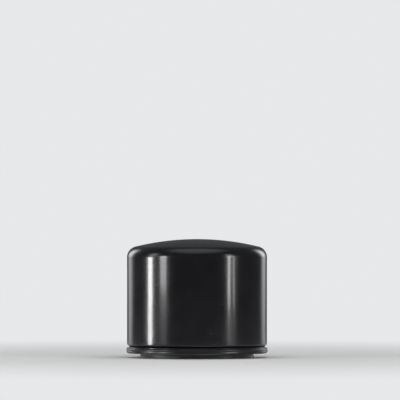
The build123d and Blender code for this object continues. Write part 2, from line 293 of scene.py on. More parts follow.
def cut(obj, cutter):
    """obj minus cutter, worked out now, so that only the result is left."""
    m = obj.modifiers.new("cut", "BOOLEAN")
    m.operation, m.solver, m.object = "DIFFERENCE", "EXACT", cutter
    while obj.modifiers[0].name != m.name:
        bpy.context.view_layer.objects.active = obj
        with bpy.context.temp_override(object=obj):
            bpy.ops.object.modifier_move_up(modifier=m.name)
    others = [x for x in obj.modifiers if x != m]
    for x in others:
        x.show_viewport = False
    dg = bpy.context.evaluated_depsgraph_get()
    mesh = bpy.data.meshes.new_from_object(obj.evaluated_get(dg))
    for x in others:
        x.show_viewport = True
    obj.modifiers.remove(m)
    bm = bmesh.new()
    bm.from_mesh(mesh)
    bmesh.ops.remove_doubles(bm, verts=bm.verts, dist=8e-7)
    bmesh.ops.dissolve_degenerate(bm, edges=bm.edges, dist=6e-7)
    bm.to_mesh(mesh)
    bm.free()
    old = obj.data
    obj.data = mesh
    bpy.data.meshes.remove(old)
    bpy.data.objects.remove(cutter)
    return obj


def place(obj, body, slot, material, *nodes):
    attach(obj, body)
    if nodes:
        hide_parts(*nodes)
    obj.data.materials.clear()
    obj.data.materials.append(material)
    return obj


# ---------------------------------------------------------------------------
# materials. Texture coordinates are object coordinates, in metres, so the
# scales below are per metre: 1000 is one cell to a millimetre.
# ---------------------------------------------------------------------------


class Nodes:
    def __init__(self, name):
        self.mat = bpy.data.materials.new(name)
        self.mat.use_nodes = True
        self.tree = self.mat.node_tree
        self.tree.nodes.clear()
        self.out = self.tree.nodes.new("ShaderNodeOutputMaterial")
        self.bsdf = self.tree.nodes.new("ShaderNodeBsdfPrincipled")
        self.tree.links.new(self.bsdf.outputs[0], self.out.inputs[0])
        self.coord = self.tree.nodes.new("ShaderNodeTexCoord").outputs["Object"]
        self.height = None

    def link(self, a, b):
        self.tree.links.new(a, b)

    def scaled(self, x, y, z):
        m = self.tree.nodes.new("ShaderNodeMapping")
        m.inputs["Scale"].default_value = (x, y, z)
        self.link(self.coord, m.inputs["Vector"])
        return m.outputs[0]

    def noise(self, scale, detail=4.0, rough=0.55, vector=None, distortion=0.0):
        t = self.tree.nodes.new("ShaderNodeTexNoise")
        t.inputs["Scale"].default_value = scale
        t.inputs["Detail"].default_value = detail
        t.inputs["Roughness"].default_value = rough
        t.inputs["Distortion"].default_value = distortion
        self.link(vector or self.coord, t.inputs["Vector"])
        return t.outputs["Fac"]

    def voronoi(self, scale, feature="F1", vector=None, randomness=1.0):
        t = self.tree.nodes.new("ShaderNodeTexVoronoi")
        t.feature = feature
        t.inputs["Scale"].default_value = scale
        t.inputs["Randomness"].default_value = randomness
        self.link(vector or self.coord, t.inputs["Vector"])
        return t.outputs["Distance"]

    def remap(self, value, a, b, c, d, smooth=False):
        m = self.tree.nodes.new("ShaderNodeMapRange")
        m.interpolation_type = "SMOOTHSTEP" if smooth else "LINEAR"
        for k, x in zip(("From Min", "From Max", "To Min", "To Max"), (a, b, c, d)):
            m.inputs[k].default_value = x
        self.link(value, m.inputs["Value"])
        return m.outputs["Result"]

    def math(self, op, a, b=None, clamp=False):
        m = self.tree.nodes.new("ShaderNodeMath")
        m.operation = op
        m.use_clamp = clamp
        for i, x in enumerate((a, b)):
            if x is None:
                continue
            if isinstance(x, (int, float)):
                m.inputs[i].default_value = x
            else:
                self.link(x, m.inputs[i])
        return m.outputs[0]

    def mix(self, factor, a, b):
        m = self.tree.nodes.new("ShaderNodeMix")
        m.data_type = "RGBA"
        for key, x in (("Factor_Float", factor), ("A_Color", a), ("B_Color", b)):
            socket = next(s for s in m.inputs if s.identifier == key)
            if isinstance(x, (int, float)):
                socket.default_value = x
            elif isinstance(x, tuple):
                socket.default_value = (*x, 1.0)
            else:
                self.link(x, socket)
        return next(s for s in m.outputs if s.identifier == "Result_Color")

    def axes(self):
        s = self.tree.nodes.new("ShaderNodeSeparateXYZ")
        self.link(self.coord, s.inputs[0])
        return s.outputs

    def radius(self):
        x, y, _ = self.axes()
        return self.math("SQRT", self.math("ADD", self.math("MULTIPLY", x, x), self.math("MULTIPLY", y, y)))

    def angle(self):
        x, y, _ = self.axes()
        return self.math("ARCTAN2", y, x)

    def cylinder(self, around, along):
        """A coordinate unrolled round the axis, as a vector: arc, height, radius."""
        c = self.tree.nodes.new("ShaderNodeCombineXYZ")
        self.link(self.math("MULTIPLY", self.angle(), around), c.inputs[0])
        self.link(self.math("MULTIPLY", self.axes()[2], along), c.inputs[1])
        self.link(self.math("MULTIPLY", self.radius(), along), c.inputs[2])
        return c.outputs[0]

    def color(self, value):
        if isinstance(value, tuple):
            self.bsdf.inputs["Base Color"].default_value = (*value, 1.0)
        else:
            self.link(value, self.bsdf.inputs["Base Color"])

    def rough(self, value):
        if isinstance(value, (int, float)):
            self.bsdf.inputs["Roughness"].default_value = value
        else:
            self.link(value, self.bsdf.inputs["Roughness"])

    def metal(self, value):
        if isinstance(value, (int, float)):
            self.bsdf.inputs["Metallic"].default_value = value
        else:
            self.link(value, self.bsdf.inputs["Metallic"])

    def set(self, **values):
        for k, v in values.items():
            self.bsdf.inputs[k.replace("_", " ")].default_value = v

    def bump(self, *layers):
        """layers are (height output, distance in mm)."""
        normal = None
        for height, mm in layers:
            b = self.tree.nodes.new("ShaderNodeBump")
            b.inputs["Strength"].default_value = 1.0
            b.inputs["Distance"].default_value = mm * MM
            self.link(height, b.inputs["Height"])
            if normal is not None:
                self.link(normal, b.inputs["Normal"])
            normal = b.outputs[0]
        self.link(normal, self.bsdf.inputs["Normal"])


def paint(name, bare_inside=None):
    """Black stoved enamel on drawn steel: faint orange peel, draw lines below, a few fine scuffs and
    dust; with bare_inside the paint is rougher, with a thinner coat. bare_inside is the radius inside which the steel
    is bare."""
    n = Nodes(name)
    peel = n.noise(900.0, 2.0, 0.5)
    fine = n.noise(4200.0, 3.0, 0.6)
    draw = n.noise(1.0, 3.0, 0.6, vector=n.cylinder(26.0, 14.0))
    cloud = n.noise(55.0, 4.0, 0.6)
    scuff_field = n.noise(1.0, 2.0, 0.5, vector=n.cylinder(9.0, 900.0), distortion=0.4)
    scuff = n.remap(scuff_field, 0.66, 0.74, 0.0, 1.0, smooth=True)
    scuff = n.math("MULTIPLY", scuff, n.remap(n.noise(70.0, 3.0), 0.5, 0.66, 0.0, 1.0, smooth=True))
    specks = n.remap(n.voronoi(520.0), 0.0, 0.045, 1.0, 0.0)
    specks = n.math("MULTIPLY", specks, n.remap(n.noise(130.0, 2.0), 0.56, 0.62, 0.0, 1.0))
    base = n.mix(n.remap(cloud, 0.3, 0.7, 0.0, 1.0), (0.0062, 0.0062, 0.0078), (0.0105, 0.0105, 0.0125))
    base = n.mix(n.math("MULTIPLY", scuff, 0.35), base, (0.045, 0.045, 0.048))
    base = n.mix(n.math("MULTIPLY", specks, 0.5), base, (0.16, 0.155, 0.145))
    rough = n.remap(cloud, 0.25, 0.75, 0.155, 0.225)
    rough = n.math("ADD", rough, n.math("MULTIPLY", scuff, 0.10))
    rough = n.math("ADD", rough, n.math("MULTIPLY", specks, 0.35), clamp=True)
    n.set(Specular_IOR_Level=0.32, Coat_Weight=0.25, Coat_Roughness=0.08, Coat_IOR=1.45)
    if bare_inside is not None:
        rough = n.math("ADD", rough, 0.11)
        n.set(Coat_Weight=0.10, Coat_Roughness=0.20)
    if bare_inside is None:
        n.color(base)
        n.rough(rough)
        n.bump((draw, 0.016), (peel, 0.0085), (fine, 0.0005))
        return n.mat
    # the paint ends raggedly where the mask lay over the underside
    edge = n.math("ADD", n.radius(), n.math("MULTIPLY", n.math("SUBTRACT", n.noise(260.0, 4.0, 0.6), 0.5), 0.0011))
    mist = n.math("ADD", n.radius(), n.math("MULTIPLY", n.math("SUBTRACT", n.noise(2600.0, 3.0, 0.7), 0.5), 0.0060))
    solid = n.remap(edge, bare_inside - 0.00012, bare_inside + 0.00012, 0.0, 1.0)
    spray = n.remap(mist, bare_inside - 0.0022, bare_inside + 0.0002, 0.0, 0.75)
    covered = n.math("MAXIMUM", solid, spray, clamp=True)
    grain = n.noise(1.0, 4.0, 0.7, vector=n.cylinder(40.0, 9000.0))
    tin = n.mix(n.remap(n.noise(180.0, 5.0, 0.6), 0.3, 0.7, 0.0, 1.0), (0.50, 0.49, 0.46), (0.66, 0.65, 0.62))
    tin = n.mix(n.remap(n.noise(60.0, 4.0, 0.6), 0.52, 0.72, 0.0, 0.5), tin, (0.42, 0.37, 0.28))
    n.color(n.mix(covered, tin, base))
    n.metal(n.remap(covered, 0.0, 1.0, 1.0, 0.0))
    bare_rough = n.remap(grain, 0.3, 0.7, 0.26, 0.42)
    inv = n.math("SUBTRACT", 1.0, covered)
    n.rough(n.math("ADD", n.math("MULTIPLY", rough, covered), n.math("MULTIPLY", bare_rough, inv)))
    n.bump((draw, 0.010), (peel, 0.003), (grain, 0.0015), (covered, 0.02))
    return n.mat


def nitrile(name, base=(0.0105, 0.0105, 0.0110), lift=(0.026, 0.026, 0.026), rough=0.42):
    """Moulded black rubber with a dry bloom in patches, fine mould texture and a few lint specks."""
    n = Nodes(name)
    cloud = n.noise(140.0, 5.0, 0.62)
    pores = n.voronoi(3600.0)
    fine = n.noise(5200.0, 4.0, 0.65)
    bloom = n.remap(n.noise(260.0, 5.0, 0.7), 0.5, 0.75, 0.0, 1.0, smooth=True)
    lint = n.remap(n.voronoi(760.0), 0.0, 0.04, 1.0, 0.0)
    c = n.mix(n.remap(cloud, 0.3, 0.7, 0.0, 1.0), base, lift)
    c = n.mix(n.math("MULTIPLY", bloom, 0.35), c, tuple(min(1.0, 2.6 * x + 0.012) for x in lift))
    c = n.mix(n.math("MULTIPLY", lint, 0.35), c, (0.20, 0.19, 0.17))
    n.color(c)
    n.rough(n.math("ADD", n.remap(cloud, 0.2, 0.8, rough - 0.08, rough + 0.08), n.math("MULTIPLY", bloom, 0.12)))
    n.set(Specular_IOR_Level=0.42, Sheen_Weight=0.12, Sheen_Roughness=0.4)
    n.bump((cloud, 0.02), (fine, 0.006), (pores, 0.004))
    return n.mat


def steel(name, dark, light, rough=0.32, stain=(0.20, 0.15, 0.09), stained=0.25, grain="rolled", metallic=1.0,
          oil=0.0):
    """Sheet steel or wire: rolling or turning grain, cloudy coating, a little staining and handling marks."""
    n = Nodes(name)
    cloud = n.noise(120.0, 6.0, 0.62)
    if grain == "rolled":
        lines = n.noise(1.0, 4.0, 0.7, vector=n.scaled(380.0, 9500.0, 9500.0))
    elif grain == "turned":
        lines = n.noise(1.0, 4.0, 0.7, vector=n.cylinder(3.0, 9000.0))
    else:
        lines = n.noise(4200.0, 4.0, 0.7)
    spots = n.remap(n.noise(420.0, 6.0, 0.66), 0.56, 0.70, 0.0, 1.0, smooth=True)
    scratch = n.remap(n.noise(1.0, 1.0, 0.4, vector=n.scaled(240.0, 6100.0, 3000.0), distortion=1.2),
                      0.70, 0.76, 0.0, 1.0, smooth=True)
    c = n.mix(n.remap(cloud, 0.28, 0.72, 0.0, 1.0), dark, light)
    c = n.mix(n.math("MULTIPLY", spots, stained), c, stain)
    c = n.mix(n.math("MULTIPLY", scratch, 0.3), c, tuple(min(1.0, x * 1.35) for x in light))
    n.color(c)
    n.metal(metallic)
    r = n.math("ADD", n.remap(lines, 0.25, 0.75, rough - 0.07, rough + 0.07), n.math("MULTIPLY", spots, 0.14))
    n.rough(r)
    if oil:
        n.set(Coat_Weight=oil, Coat_Roughness=0.12, Coat_IOR=1.47)
    n.bump((cloud, 0.012), (lines, 0.0022), (spots, 0.002))
    return n.mat


def moulded(name, dark, light, rough=0.4, speck=(0.05, 0.04, 0.03)):
    """Coloured silicone rubber or cured plastisol."""
    n = Nodes(name)
    cloud = n.noise(210.0, 5.0, 0.6)
    fine = n.noise(3800.0, 4.0, 0.6)
    dots = n.remap(n.voronoi(900.0), 0.0, 0.05, 1.0, 0.0)
    c = n.mix(n.remap(cloud, 0.3, 0.7, 0.0, 1.0), dark, light)
    c = n.mix(n.math("MULTIPLY", dots, 0.4), c, speck)
    n.color(c)
    n.rough(n.remap(fine, 0.3, 0.7, rough - 0.06, rough + 0.08))
    n.set(Specular_IOR_Level=0.45, Subsurface_Weight=0.05, Subsurface_Scale=0.001)
    n.bump((cloud, 0.03), (fine, 0.006))
    return n.mat


def paper(name):
    """Resin-treated filter paper: fibres, cloudy formation, the resin darker at the folds."""
    n = Nodes(name)
    cloud = n.noise(330.0, 6.0, 0.68)
    fibres = n.noise(1.0, 5.0, 0.75, vector=n.scaled(1700.0, 1700.0, 5200.0), distortion=1.6)
    fibres2 = n.noise(1.0, 5.0, 0.75, vector=n.scaled(4600.0, 4600.0, 1300.0), distortion=1.6)
    fold = n.remap(n.radius(), 0.0295, 0.0318, 0.0, 1.0, smooth=True)
    c = n.mix(n.remap(cloud, 0.3, 0.7, 0.0, 1.0), (0.60, 0.43, 0.17), (0.76, 0.60, 0.31))
    c = n.mix(n.remap(fibres, 0.5, 0.8, 0.0, 0.55), c, (0.86, 0.74, 0.50))
    c = n.mix(n.remap(fibres2, 0.55, 0.8, 0.0, 0.4), c, (0.45, 0.30, 0.11))
    c = n.mix(n.math("MULTIPLY", fold, 0.35), c, (0.47, 0.31, 0.12))
    n.color(c)
    n.rough(n.remap(cloud, 0.3, 0.7, 0.78, 0.92))
    n.set(Specular_IOR_Level=0.25, Sheen_Weight=0.15, Sheen_Roughness=0.5)
    n.bump((cloud, 0.05), (fibres, 0.035), (fibres2, 0.025))
    return n.mat


M_CAN = paint("can_enamel")
M_LID = paint("lid_enamel_over_tinplate", bare_inside=0.0349)
M_GASKET = nitrile("gasket_nitrile")
M_SEAL = nitrile("seal_nitrile", rough=0.5)
M_PLATE = steel("plate_phosphated", (0.19, 0.185, 0.17), (0.31, 0.30, 0.275), rough=0.40, stain=(0.11, 0.075, 0.04),
                stained=0.5, grain="fine", metallic=0.85, oil=0.35)
M_TIN = steel("tinned_sheet", (0.50, 0.50, 0.48), (0.68, 0.68, 0.65), rough=0.28, stained=0.2)
M_TUBE = steel("zinc_strip", (0.40, 0.42, 0.44), (0.60, 0.62, 0.64), rough=0.36, stain=(0.30, 0.31, 0.32), stained=0.4)
M_WIRE = steel("spring_wire", (0.16, 0.16, 0.165), (0.28, 0.28, 0.285), rough=0.34, stained=0.3, grain="fine", oil=0.3)
M_TURNED = steel("turned_steel", (0.42, 0.42, 0.42), (0.62, 0.62, 0.61), rough=0.26, stained=0.15, grain="turned")
M_VALVE = moulded("valve_silicone", (0.50, 0.075, 0.018), (0.68, 0.13, 0.035), rough=0.38)
M_GLUE = moulded("plastisol", (0.23, 0.06, 0.035), (0.36, 0.11, 0.06), rough=0.5)
M_COMPOUND = moulded("sealing_compound", (0.12, 0.07, 0.04), (0.20, 0.12, 0.07), rough=0.55)
M_PAPER = paper("filter_paper")

# ---------------------------------------------------------------------------
# the can: drawn cup, crown up, necked in above the seam, edge turned into the
# body hook
# ---------------------------------------------------------------------------
H, CAN_R, CAN_T, DOME_R, SHOULDER = 64.3, 38.0, 0.5, 140.0, 6.0
crown = math.asin((CAN_R - SHOULDER) / (DOME_R - SHOULDER))
mid_r, mid_z = CAN_R - CAN_T / 2, H - CAN_T / 2
corner_r = (DOME_R - CAN_T / 2) * math.tan(crown / 2)
corner_z = mid_z - (mid_r - corner_r) * math.tan(crown)
can_line = [(0, mid_z), (corner_r, mid_z), (mid_r, corner_z), (mid_r, 7.2), (36.4, 6.0), (36.4, 3.2), (37.5, 3.2), (37.5, 4.45)]
CROWN_INSIDE = (H - DOME_R) + math.sqrt((DOME_R - CAN_T) ** 2 - 13.9 ** 2)      # over the element spring
can_radii = [DOME_R - CAN_T / 2, SHOULDER - CAN_T / 2, 0.7, 0.7, 0.55, 0.55]


def sheet_sides(line, radii, t, step):
    turns = [(b[0] - a[0]) * (c[1] - b[1]) - (b[1] - a[1]) * (c[0] - b[0]) > 0 for a, b, c in zip(line, line[1:], line[2:])]
    one, other = beside(line, t / 2), beside(line, -t / 2)
    one = rounded(one, [r - t / 2 if k else r + t / 2 for r, k in zip(radii, turns)], step=step)
    other = rounded(other, [r + t / 2 if k else r - t / 2 for r, k in zip(radii, turns)], step=step)
    return one, other


outer_side, inner_side = sheet_sides(can_line, can_radii, CAN_T, 1.2)


def thin(points, least=0.12):
    """Drops points that crowd together, keeping both ends."""
    out = [points[0]]
    for p in points[1:-1]:
        if math.dist(p, out[-1]) >= least:
            out.append(p)
    return out + [points[-1]]


can_profile = divide(thin(outer_side), 2.0, closed=False) + divide(thin(inner_side), 4.0, closed=False)[::-1]
can_profile[0] = (0.0, can_profile[0][1])
can_profile[-1] = (0.0, can_profile[-1][1])

wobble = [(random.choice((2, 3, 5, 7, 9, 13)), random.uniform(0.04, 0.30), random.uniform(0, 6.28), random.uniform(0, 6.28)) for _ in range(18)]


def drawn(r, z, a):
    """The draw leaves the wall a few hundredths of a millimetre out of true."""
    if r < 36.9 or not 8.5 < z < 54.0:
        return r, z
    fade = min(1.0, (z - 8.5) / 5.0) * min(1.0, (54.0 - z) / 5.0)
    d = sum(math.sin(k * a + p) * math.sin(w * z + q) / k ** 0.6 for k, w, p, q in wobble)
    return r - 0.011 * fade * max(0.0, d + 3.0), z


can = lathe("can", can_profile, n=288, bend=drawn)
place(can, HOUSING, "can_paint", M_CAN, "can")

# ---------------------------------------------------------------------------
# the seaming lid. The seaming rolls leave the outer panel very slightly waisted.
# ---------------------------------------------------------------------------
LID_T = 0.5
lid_line = [(26.85, 2.2), (26.85, 5.25), (31.35, 5.25), (31.35, 3.05), (33.25, 3.05), (33.25, 5.25), (35.85, 5.25),
            (35.85, 2.65), (38.05, 2.65), (38.05, 5.15), (36.95, 5.15), (36.95, 3.85)]
lid_radii = [0.6, 0.6, 0.6, 0.6, 0.6, 0.6, 0.7, 0.7, 0.55, 0.55]
lid_profile = divide(sheet(lid_line, lid_radii, LID_T, edge=0.12, step=7.5), 0.35)


def rolled(r, z, a):
    if r > 38.25 and 3.1 < z < 4.7:
        r -= 0.10 * math.sin(math.pi * (z - 3.1) / 1.6) ** 2
    return r, z


lid = lathe("seaming_lid", lid_profile, n=256, bend=rolled)
place(lid, HOUSING, "lid_paint", M_LID, "seaming_lid")

# ---------------------------------------------------------------------------
# gasket: square section with eased corners and a fine flash line at mid height
# ---------------------------------------------------------------------------
gi, go = 27.3, 30.85
gasket_line = rounded([(go, 0.0), (go, 2.35), (go + 0.06, 2.5), (go, 2.65), (go, 5.0), (gi, 5.0), (gi, 2.65), (gi - 0.06, 2.5),
                       (gi, 2.35), (gi, 0.0)], [0.35, 0, 0.03, 0, 0.45, 0.45, 0, 0.03, 0, 0.35], closed=True, step=11)
gasket = lathe("gasket", divide(gasket_line, 0.9), n=224)
place(gasket, HOUSING, "gasket_rubber", M_GASKET, "gasket")

# ---------------------------------------------------------------------------
# base plate with the real thread: 3/4-16, right-hand. The collar is drawn, so
# the thread runs out into the chamfers at both ends.
# ---------------------------------------------------------------------------
PITCH, MINOR, MAJOR = 25.4 / 16, 8.75, 9.525
P0, P1, TOP = 5.5, 8.5, 14.5
N_THREAD = 192
PER_PITCH = 16


def thread_r(z, a):
    phase = (z / PITCH - a / (2 * math.pi)) % 1.0
    d = abs(phase - 0.5) * PITCH                # distance from the middle of the groove
    depth, flat = MAJOR - MINOR, PITCH / 16
    r = MAJOR - max(0.0, d - flat) * math.tan(math.radians(60))
    r = max(MINOR, min(MAJOR - 0.02, r))
    entry = MINOR + 1.15 - (z - P0)             # chamfers
    leave = MINOR + 0.85 - (TOP - z)
    return max(r, entry, leave)


outside = rounded([(MINOR + 1.15, P0), (34.8, P0), (34.8, P1), (12.0, P1), (12.0, TOP), (MINOR + 0.85, TOP)],
                  [0.4, 0.8, 1.5, 0.6], step=9)
outside = [outside[0]] + divide(outside[1:-1], 6.0, closed=False) + [outside[-1]]
verts, faces, rings = [], [], []
for r, z in outside:
    ring = []
    for i in range(N_THREAD):
        a = 2 * math.pi * i / N_THREAD
        ring.append(len(verts))
        verts.append((r * math.cos(a), r * math.sin(a), z))
    rings.append(ring)
for a, b in zip(rings, rings[1:]):
    for i in range(N_THREAD):
        j = (i + 1) % N_THREAD
        faces.append([a[i], a[j], b[j], b[i]])
# bore rows follow the helix, so that crests and roots are clean lines; rows beyond either end close up on it
rows = range(-PER_PITCH, int((TOP - P0) / PITCH * PER_PITCH) + PER_PITCH + 2)
grid = {}
for k in rows:
    for i in range(N_THREAD + 1):
        a = 2 * math.pi * i / N_THREAD
        z = P0 + (k / PER_PITCH + (i / N_THREAD)) * PITCH - PITCH
        z = min(TOP, max(P0, z))
        r = thread_r(z, a)
        key = (i % N_THREAD, round(z, 5))
        if key not in grid:
            grid[key] = len(verts)
            aa = 2 * math.pi * (i % N_THREAD) / N_THREAD
            verts.append((r * math.cos(aa), r * math.sin(aa), z))
for k in rows:
    if k + 1 not in rows:
        continue
    for i in range(N_THREAD):
        quad = []
        for kk, ii in ((k, i), (k, i + 1), (k + 1, i + 1), (k + 1, i)):
            z = P0 + (kk / PER_PITCH + ii / N_THREAD) * PITCH - PITCH
            z = min(TOP, max(P0, z))
            quad.append(grid[(ii % N_THREAD, round(z, 5))])
        quad = [v for t, v in enumerate(quad) if v != quad[t - 1]]
        if len(set(quad)) > 2:
            faces.append(quad)
plate = make("base_plate", verts, faces, sharp=28.0)


def hole_cutter(x, y, r, z0, z1, ease, n=48):
    """A punch with flared ends, so that the hole's rims come out rounded."""
    prof = [(0.0, z0 - 1.0), (r + ease, z0 - 1.0), (r + ease, z0)]
    for k in range(1, 6):
        t = math.pi / 2 * k / 5
        prof.append((r + ease - ease * math.sin(t), z0 + ease - ease * math.cos(t)))
    for k in range(0, 6):
        t = math.pi / 2 * k / 5
        prof.append((r + ease - ease * math.cos(t), z1 - ease + ease * math.sin(t)))
    prof += [(r + ease, z1 + 1.0), (0.0, z1 + 1.0)]
    kept = [prof[0]]
    for p in prof[1:]:
        if math.dist(p, kept[-1]) > 1e-4:
            kept.append(p)
    v, f = lathe_data(kept, n)
    return [(a + x, b + y, c) for a, b, c in v], f


verts, faces = [], []
for k in range(8):
    a = 2 * math.pi * k / 8
    v, f = hole_cutter(19.5 * math.cos(a), 19.5 * math.sin(a), 3.0, P0, P1, 0.3)
    faces += [[i + len(verts) for i in q] for q in f]
    verts += v
cutter = make("cutter", verts, faces, weighted=False)
plate = cut(plate, cutter)
plate.data.set_sharp_from_angle(angle=math.radians(28))
place(plate, HOUSING, "plate_steel", M_PLATE, "base_plate")

# ---------------------------------------------------------------------------
# anti-drainback valve: one moulding, gripped at its flange and bending at its
# neck, with a thin lip that lies on the plate outside the inlet holes
# ---------------------------------------------------------------------------
valve_line = rounded(
    [(10.4, 16.0), (10.4, 14.5), (12.05, 14.5), (12.05, 12.2), (13.2, 12.2), (14.2, 12.75), (24.75, 8.56), (25.85, 8.56),
     (25.95, 9.05), (15.1, 14.0), (14.3, 14.55), (14.3, 16.0)],
    [0.35, 0.25, 0.15, 0.3, 0.5, 0.7, 0.3, 0.22, 0.35, 1.2, 0.5, 0.35], closed=True, step=10)
valve = lathe("drainback_valve", divide(valve_line, 0.6), n=192)
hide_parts("drainback_valve_hub", "drainback_valve_lip")
valve.data.materials.append(M_VALVE)
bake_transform(valve)

# ---------------------------------------------------------------------------
# end caps with a stiffening bead, potting, centre tube, pleats and clip
# ---------------------------------------------------------------------------
CAP_T = 0.4


def cap(name, line, radii, bead_r, bead_h, z_mid):
    prof = divide(sheet(line, radii, CAP_T, edge=0.08, step=9), 0.8)

    def press(r, z, a):
        d = abs(r - bead_r)
        if d < 1.6 and abs(z - z_mid) < CAP_T:
            z += bead_h * 0.5 * (1 + math.cos(math.pi * d / 1.6))
        return r, z

    return lathe(name, prof, n=192, bend=press)


lower_cap = cap("lower_end_cap", [(10.0, 14.9), (10.0, 16.2), (32.8, 16.2), (32.8, 19.6)], [0.5, 0.7], 24.0, -0.35, 16.2)
place(lower_cap, HOUSING, "tinned_steel", M_TIN, "lower_end_cap")
upper_cap = cap("upper_end_cap", [(9.6, 53.7), (32.8, 53.7), (32.8, 50.3)], [0.7], 24.0, 0.45, 53.7)
place(upper_cap, HOUSING, "tinned_steel", M_TIN, "upper_end_cap")


def potting(name, z_cap, z_free, node):
    """Poured ring: flat where it lies in the cap, drawn up a little at the tube and at the rim."""
    s = 1 if z_free > z_cap else -1
    pts = [(13.05, z_cap), (32.5, z_cap), (32.5, z_free + 0.25 * s), (31.7, z_free), (14.2, z_free), (13.05, z_free + 0.3 * s)]
    prof = divide(rounded(pts, [0.1, 0.6, 0.15, 0.8, 0.8, 0.15], closed=True, step=12), 0.9)
    waves = [(random.randint(3, 21), random.uniform(0, 6.28)) for _ in range(6)]

    def pour(r, z, a):
        if abs(z - z_cap) > 1.2:
            z += 0.05 * sum(math.sin(k * a + p + r * 0.3) for k, p in waves) / 2
        return r, z

    obj = lathe(name, prof, n=144, bend=pour)
    return place(obj, HOUSING, "plastisol", M_GLUE, node)


potting("lower_potting", 16.4, 18.4, "lower_potting")
potting("upper_potting", 53.5, 51.5, "upper_potting")

# pleated paper: arcs at the folds joined by crossed tangents, each fold a little different from the next
PLEATS, PAPER_T = 50, 0.6
OUT_C, IN_C, OUT_R, IN_R, END_R = 31.0, 15.0, 0.75, 0.40, 0.33
pitch = 2 * math.pi / PLEATS
outer_folds, inner_folds = [], []
for i in range(PLEATS + 1):
    end = i in (0, PLEATS)
    outer_folds.append((OUT_C + (0 if end else random.uniform(-0.25, 0.15)), i * pitch + (0 if end else random.uniform(-0.010, 0.010)),
                        END_R if end else OUT_R * random.uniform(0.94, 1.06)))
for i in range(PLEATS):
    inner_folds.append((IN_C + random.uniform(-0.05, 0.12), (i + 0.5) * pitch + random.uniform(-0.003, 0.003), IN_R))


def point(r, a):
    return np.array([r * math.cos(a), r * math.sin(a)])


def tangent(o, i):
    """Unit normal of the crossed tangent from outer fold o to inner fold i, pointing away from the outer fold's middle."""
    a, b = point(o[0], o[1]), point(i[0], i[1])
    side = 1 if i[1] > o[1] else -1
    d = (b - a) / np.linalg.norm(b - a)
    across = np.array([-d[1], d[0]])
    lean = math.asin((o[2] + i[2]) / np.linalg.norm(b - a))
    return (-across * math.cos(lean) - d * math.sin(lean)) * side


path = []                                       # (middle point, unit normal towards the outer face)


def arc(centre, radius, n0, n1, sign, m):
    t0, t1 = math.atan2(n0[1], n0[0]), math.atan2(n1[1], n1[0])
    d = t1 - t0
    while d > math.pi:
        d -= 2 * math.pi
    while d < -math.pi:
        d += 2 * math.pi
    for k in range(m + 1):
        t = t0 + d * k / m
        n = np.array([math.cos(t), math.sin(t)])
        path.append((centre + n * radius, n * sign))


STEPS = 6
for i in range(PLEATS):
    o0, o1, f = outer_folds[i], outer_folds[i + 1], inner_folds[i]
    n0, n1 = tangent(o0, f), tangent(o1, f)
    if i == 0:
        path.append((point(*o0[:2]) + n0 * o0[2], n0))
    a0, b0 = point(*o0[:2]) + n0 * o0[2], point(*f[:2]) - n0 * f[2]
    for k in range(1, STEPS):
        path.append((a0 + (b0 - a0) * k / STEPS, n0))
    arc(point(*f[:2]), f[2], -n0, -n1, -1, 6)
    a1, b1 = point(*f[:2]) - n1 * f[2], point(*o1[:2]) + n1 * o1[2]
    for k in range(1, STEPS):
        path.append((a1 + (b1 - a1) * k / STEPS, n1))
    if i < PLEATS - 1:
        nxt = tangent(o1, inner_folds[i + 1])
        arc(point(*o1[:2]), o1[2], n1, nxt, 1, 8)
    else:
        path.append((b1, n1))

Z_LOW, Z_HIGH, LEVELS = 17.3, 52.6, 12
sag = [(random.uniform(0.12, 0.3), random.uniform(0, 6.28)) for _ in range(5)]
verts, faces, layers = [], [], []
for level in range(LEVELS + 1):
    z = Z_LOW + (Z_HIGH - Z_LOW) * level / LEVELS
    ends = math.sin(math.pi * level / LEVELS)
    outer_ids, inner_ids = [], []
    for s, (p, n) in enumerate(path):
        q = p.copy()
        r = math.hypot(*q)
        mid = max(0.0, min(1.0, (r - 16) / 6)) * max(0.0, min(1.0, (33.0 - r) / 2))
        wave = sum(math.sin(w * z + ph + 1.7 * math.atan2(q[1], q[0]) * 3) for w, ph in sag) / 5
        t = np.array([-q[1], q[0]]) / r
        q = q + t * (0.16 * wave * mid * ends)
        for ids, side in ((outer_ids, 1), (inner_ids, -1)):
            c = q + n * side * PAPER_T / 2
            ids.append(len(verts))
            verts.append((c[0], c[1], z))
    layers.append((outer_ids, inner_ids))
m = len(path)
for (o0, i0), (o1, i1) in zip(layers, layers[1:]):
    for s in range(m - 1):
        faces.append([o0[s], o0[s + 1], o1[s + 1], o1[s]])
        faces.append([i0[s + 1], i0[s], i1[s], i1[s + 1]])
    faces.append([i0[0], o0[0], o1[0], i1[0]])
    faces.append([o0[-1], i0[-1], i1[-1], o1[-1]])
for (o, i), flip in ((layers[0], True), (layers[-1], False)):
    for s in range(m - 1):
        f = [o[s], o[s + 1], i[s + 1], i[s]]
        faces.append(f if flip else f[::-1])
media = make("pleated_media", verts, faces, sharp=50.0)
place(media, HOUSING, "filter_paper", M_PAPER, "pleated_media")


